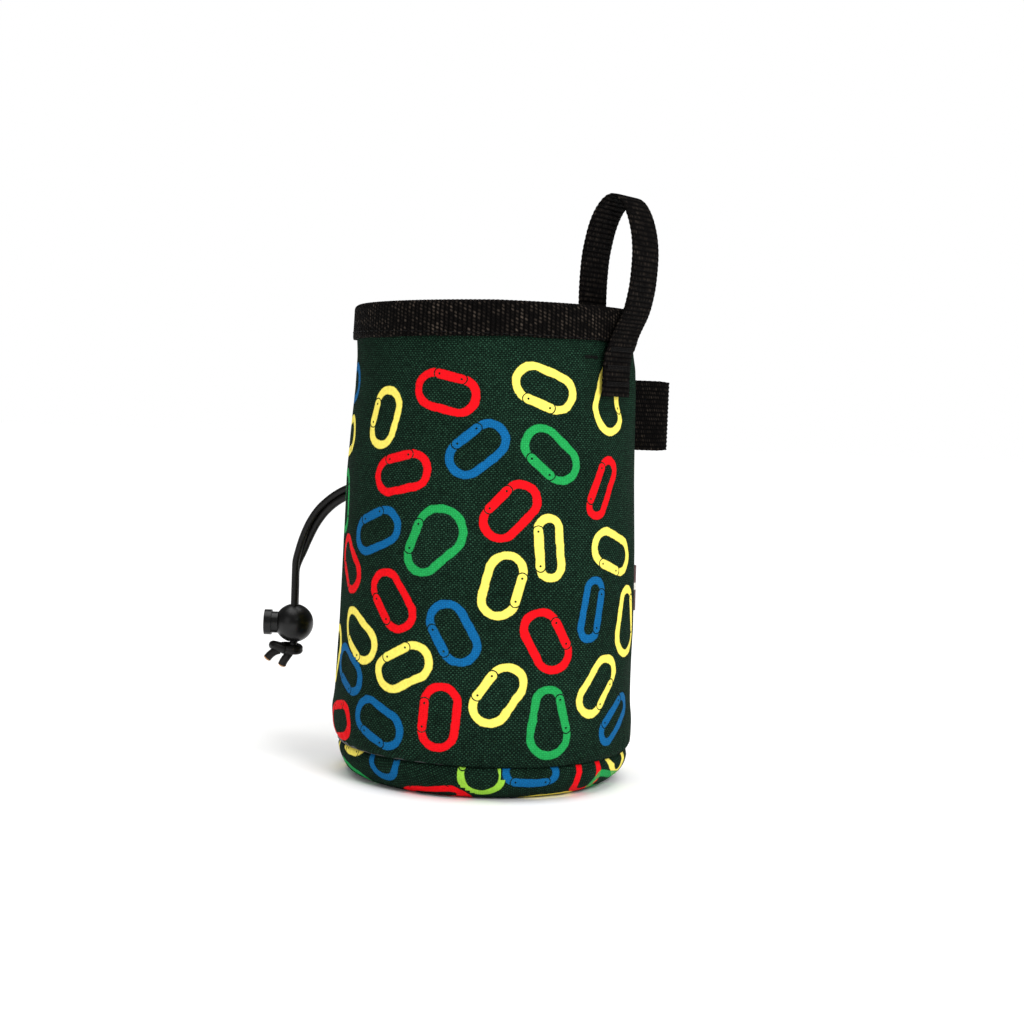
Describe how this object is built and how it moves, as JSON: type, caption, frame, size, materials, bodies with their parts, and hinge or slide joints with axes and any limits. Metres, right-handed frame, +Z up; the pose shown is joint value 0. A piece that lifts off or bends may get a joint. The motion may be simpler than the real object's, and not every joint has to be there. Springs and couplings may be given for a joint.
{
  "type": "climbing chalk bag",
  "caption": "Round drawstring bag for climbing chalk, with a stiffened rim, fleece lining, webbing hang loop, elastic brush loop and a cord with a push-button cord lock.",
  "frame": {"origin": "centre of the flat base, at the floor, on the bag's axis", "axes": "+Z up along the bag's axis towards the mouth; -Y is the front, with the drawcord at the left (-X) and the hang loop and brush loop at the right (+X)"},
  "size_m": [0.1625, 0.115, 0.2257],
  "materials": {
    "printed_canvas": "dark green canvas printed with coloured oval outlines",
    "black_webbing": "woven polyester webbing, matt black",
    "black_elastic": "ribbed elastic band, matt black",
    "collar_nylon": "thin plain-weave nylon, black",
    "fleece": "pile fleece, dark grey",
    "seam_tape": "bias tape, black",
    "black_cord": "braided 3 mm cord, black",
    "board": "sheet plastic",
    "hoop_plastic": "strip plastic",
    "lock_plastic": "moulded plastic, satin black",
    "spring_steel": "drawn steel wire",
    "eyelet_metal": "black enamelled metal",
    "stitch_thread": "bonded polyester thread, black",
    "label_cloth": "woven label cloth, dark red-brown, blank"
  },
  "bodies": {
    "bag": {"outer_shell": "printed_canvas", "base_panel": "printed_canvas", "base_board": "board", "base_seam_tape": "seam_tape", "side_seam_tape": "seam_tape", "lining_floor": "fleece", "lining_wall": "fleece", "closure_collar": "collar_nylon", "cord_channel": "collar_nylon", "cord_ring": "black_cord", "rim_hoop": "hoop_plastic", "rim_binding": "black_webbing", "cord_eyelet": "eyelet_metal", "eyelet_washer": "eyelet_metal", "cord_strand_upper": "black_cord", "cord_strand_lower": "black_cord", "cord_knot": "black_cord", "hang_loop_outer_end": "black_webbing", "hang_loop_inner_end": "black_webbing", "hang_loop_bartacks": "stitch_thread", "brush_loop": "black_elastic", "side_label": "label_cloth"},
    "cord_lock": {"lock_body": "lock_plastic", "lock_spring": "spring_steel"},
    "lock_button": {"lock_plunger": "lock_plastic"},
    "hang_loop": {"hang_loop": "black_webbing"}
  },
  "joints": [
    {"name": "lock_slide", "type": "slide", "parent": "bag", "child": "cord_lock", "axis": [0, 0, 1], "range_m": [0, 0.014]},
    {"name": "button_press", "type": "slide", "parent": "cord_lock", "child": "lock_button", "axis": [1, 0, 0], "range_m": [0, 0.0024], "stiffness_N_per_m": 800, "springref_m": -0.002, "deforming": ["lock_spring"]},
    {"name": "hang_loop_lean", "type": "hinge", "parent": "bag", "child": "hang_loop", "pos_m": [0.04228, -0.02852, 0.184], "axis": [0.5592, 0.829, 0], "range_deg": [-30, 30], "stiffness_Nm_per_rad": 0.02}
  ]
}
